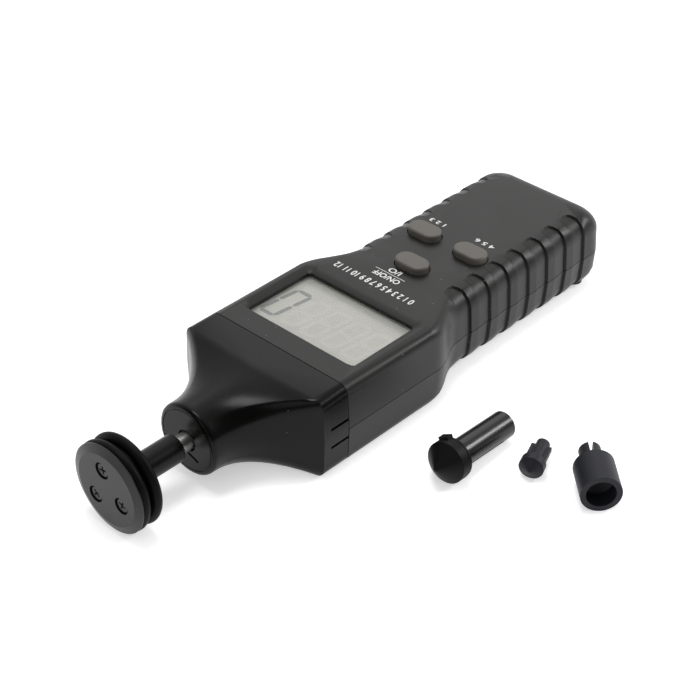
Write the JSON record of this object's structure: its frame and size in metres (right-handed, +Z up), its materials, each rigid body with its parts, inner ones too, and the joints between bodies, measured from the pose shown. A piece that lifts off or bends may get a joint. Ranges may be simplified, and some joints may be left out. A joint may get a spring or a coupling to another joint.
{
  "type": "contact tachometer",
  "caption": "Hand-held contact tachometer with a digital display, push buttons, a ball-bearing spindle with a rubber-ringed wheel, and loose spare contact tips beside it.",
  "frame": {"origin": "on the flat back that the instrument lies on, on its centreline, under the middle of the display", "axes": "+X along the spindle towards the contact wheel, +Y towards the loose spare tips, +Z up through the display"},
  "size_m": [0.2163, 0.1416, 0.0335],
  "materials": {
    "shell_plastic": "fine satin moulded texture",
    "adapter_plastic": "smooth semi-gloss",
    "wheel_plastic": "smooth semi-gloss",
    "extension_plastic": "polished",
    "button_plastic": "satin, warm grey",
    "component_plastic": "moulded",
    "disc_plastic": "smooth, pale",
    "circuit_board": "solder-masked laminate",
    "clear_window": "clear, polished",
    "lcd_glass": "satin polariser, pale grey-green",
    "red_filter": "clear dark red",
    "strip_rubber": "smooth",
    "drive_rubber": "matt moulded",
    "tip_rubber": "matt, dark blue-grey",
    "screw_steel": "zinc plated",
    "dark_screw_steel": "blackened",
    "bearing_steel": "ground",
    "spring_steel": "oiled",
    "spindle_steel": "polished",
    "contact_nickel": "nickel plated",
    "cell_jacket": "printed film sleeve"
  },
  "bodies": {
    "housing": {"upper_shell": "shell_plastic", "lower_shell": "shell_plastic", "display_window": "clear_window", "lcd_panel": "lcd_glass", "contact_strips": "strip_rubber", "main_board": "circuit_board", "board_parts": "component_plastic", "tact_switches": "component_plastic", "board_screws": "screw_steel", "case_screws": "screw_steel", "sensor_window": "red_filter", "sensor_board": "circuit_board", "sensor_eyes": "component_plastic", "battery_cells": "cell_jacket", "battery_plates": "contact_nickel", "battery_springs": "contact_nickel"},
    "door": {"battery_door": "shell_plastic"},
    "power_key": {"power_button": "button_plastic"},
    "memory_key": {"memory_button": "button_plastic"},
    "test_key": {"test_button": "button_plastic"},
    "adapter": {"nose_adapter": "adapter_plastic", "bearing_outer_rings": "bearing_steel", "bearing_balls": "bearing_steel", "bearing_spacer": "bearing_steel"},
    "spindle_set": {"spindle": "spindle_steel", "bearing_inner_rings": "bearing_steel", "retaining_ring": "spring_steel", "chopper_disc": "disc_plastic"},
    "wheel": {"wheel_hub": "wheel_plastic", "rear_drive_ring": "drive_rubber", "front_drive_ring": "drive_rubber", "wheel_plate": "wheel_plastic", "wheel_screws": "dark_screw_steel"},
    "cone_extension": {"extension_shaft": "extension_plastic", "large_cone_tip": "tip_rubber"},
    "small_cone": {"small_cone_tip": "tip_rubber"},
    "cup": {"cup_tip": "tip_rubber"}
  },
  "joints": [
    {"name": "adapter_pull", "type": "slide", "parent": "housing", "child": "adapter", "axis": [1, 0, 0], "range_m": [0, 0.03]},
    {"name": "spindle_turn", "type": "hinge", "parent": "adapter", "child": "spindle_set", "pos_m": [0.0245, 0, 0.0161], "axis": [1, 0, 0], "continuous": true},
    {"name": "wheel_pull", "type": "slide", "parent": "spindle_set", "child": "wheel", "axis": [1, 0, 0], "range_m": [0, 0.018]},
    {"name": "power_press", "type": "slide", "parent": "housing", "child": "power_key", "axis": [0, 0, -1], "range_m": [0, 0.0008], "stiffness_N_per_m": 900, "springref_m": -0.0004},
    {"name": "memory_press", "type": "slide", "parent": "housing", "child": "memory_key", "axis": [0, 0, -1], "range_m": [0, 0.0008], "stiffness_N_per_m": 900, "springref_m": -0.0004},
    {"name": "test_press", "type": "slide", "parent": "housing", "child": "test_key", "axis": [0, 0, -1], "range_m": [0, 0.0008], "stiffness_N_per_m": 900, "springref_m": -0.0004},
    {"name": "door_slide", "type": "slide", "parent": "housing", "child": "door", "axis": [-1, 0, 0], "range_m": [0, 0.112]},
    {"name": "extension_lift", "type": "slide", "parent": "housing", "child": "cone_extension", "axis": [0, 0, 1], "range_m": [0, 0.04]},
    {"name": "small_cone_lift", "type": "slide", "parent": "housing", "child": "small_cone", "axis": [0, 0, 1], "range_m": [0, 0.04]},
    {"name": "cup_lift", "type": "slide", "parent": "housing", "child": "cup", "axis": [0, 0, 1], "range_m": [0, 0.04]}
  ]
}
